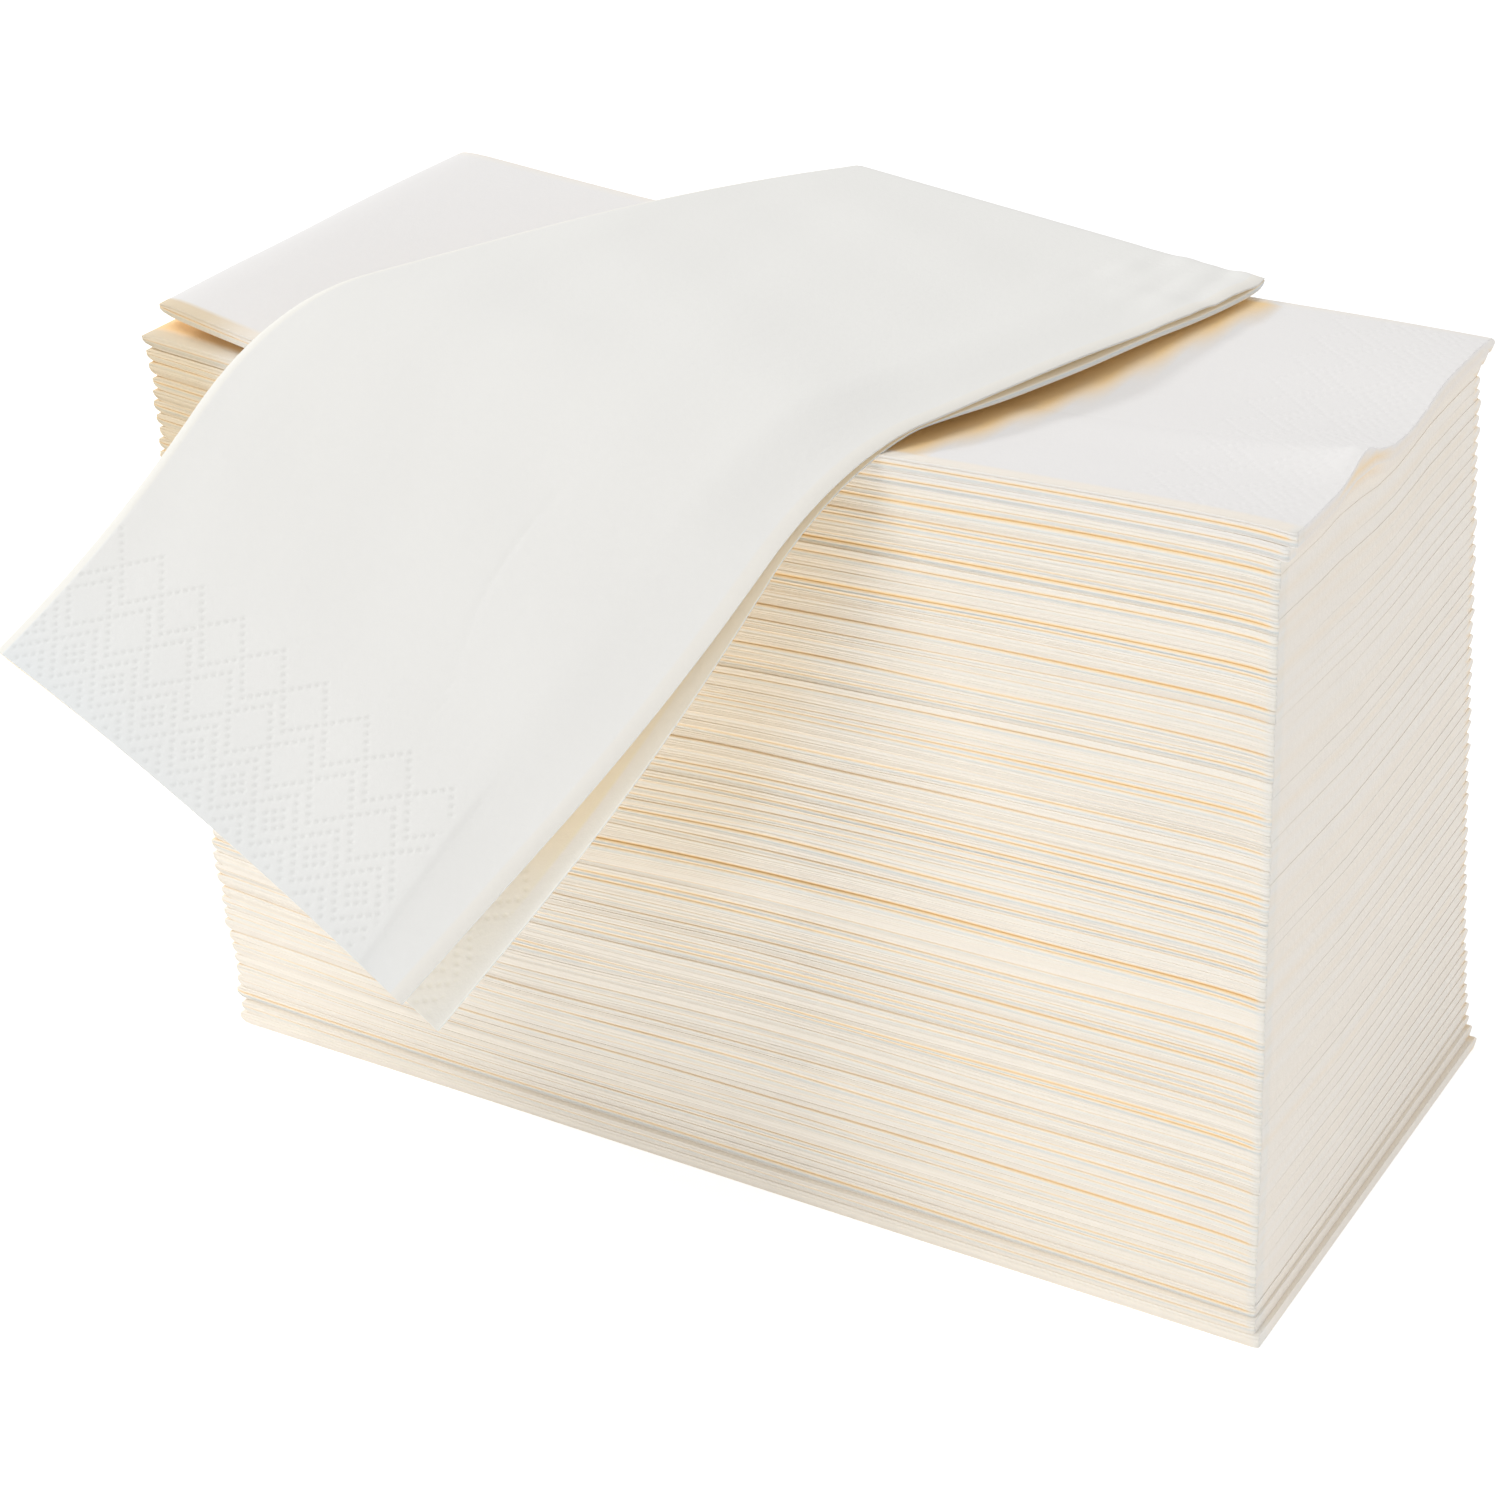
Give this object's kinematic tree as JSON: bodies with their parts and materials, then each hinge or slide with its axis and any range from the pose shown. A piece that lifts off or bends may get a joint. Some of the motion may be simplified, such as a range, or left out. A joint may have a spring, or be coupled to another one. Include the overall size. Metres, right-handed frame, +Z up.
{
  "type": "stack of paper napkins",
  "caption": "Tall squared stack of folded white paper napkins with embossed edges, and one more folded napkin laid across the top so that it hangs over the front.",
  "frame": {"origin": "centre of the stack's footprint on the table, under the lowest napkin", "axes": "+X along the napkins towards their cut ends, +Y across them towards their last fold, +Z up; the loose napkin hangs over the -Y side"},
  "size_m": [0.2187, 0.2077, 0.1601],
  "materials": {
    "napkin_paper": "matt embossed tissue"
  },
  "bodies": {
    "root": {"napkin_01": "napkin_paper", "napkin_02": "napkin_paper", "napkin_03": "napkin_paper", "napkin_04": "napkin_paper", "napkin_05": "napkin_paper", "napkin_06": "napkin_paper", "napkin_07": "napkin_paper", "napkin_08": "napkin_paper", "napkin_09": "napkin_paper", "napkin_10": "napkin_paper", "napkin_11": "napkin_paper", "napkin_12": "napkin_paper", "napkin_13": "napkin_paper", "napkin_14": "napkin_paper", "napkin_15": "napkin_paper", "napkin_16": "napkin_paper", "napkin_17": "napkin_paper", "napkin_18": "napkin_paper", "napkin_19": "napkin_paper", "napkin_20": "napkin_paper", "napkin_21": "napkin_paper", "napkin_22": "napkin_paper", "napkin_23": "napkin_paper", "napkin_24": "napkin_paper", "napkin_25": "napkin_paper", "napkin_26": "napkin_paper", "napkin_27": "napkin_paper", "napkin_28": "napkin_paper", "napkin_29": "napkin_paper", "napkin_30": "napkin_paper", "napkin_31": "napkin_paper", "napkin_32": "napkin_paper", "napkin_33": "napkin_paper", "napkin_34": "napkin_paper", "napkin_35": "napkin_paper", "napkin_36": "napkin_paper", "napkin_37": "napkin_paper", "napkin_38": "napkin_paper", "napkin_39": "napkin_paper", "napkin_40": "napkin_paper", "napkin_41": "napkin_paper", "napkin_42": "napkin_paper", "napkin_43": "napkin_paper", "napkin_44": "napkin_paper", "napkin_45": "napkin_paper", "napkin_46": "napkin_paper", "napkin_47": "napkin_paper", "napkin_48": "napkin_paper", "napkin_49": "napkin_paper", "napkin_50": "napkin_paper", "napkin_51": "napkin_paper", "napkin_52": "napkin_paper", "napkin_53": "napkin_paper", "napkin_54": "napkin_paper", "napkin_55": "napkin_paper", "napkin_56": "napkin_paper", "napkin_57": "napkin_paper", "napkin_58": "napkin_paper", "napkin_59": "napkin_paper", "draped_napkin": "napkin_paper"}
  },
  "joints": []
}
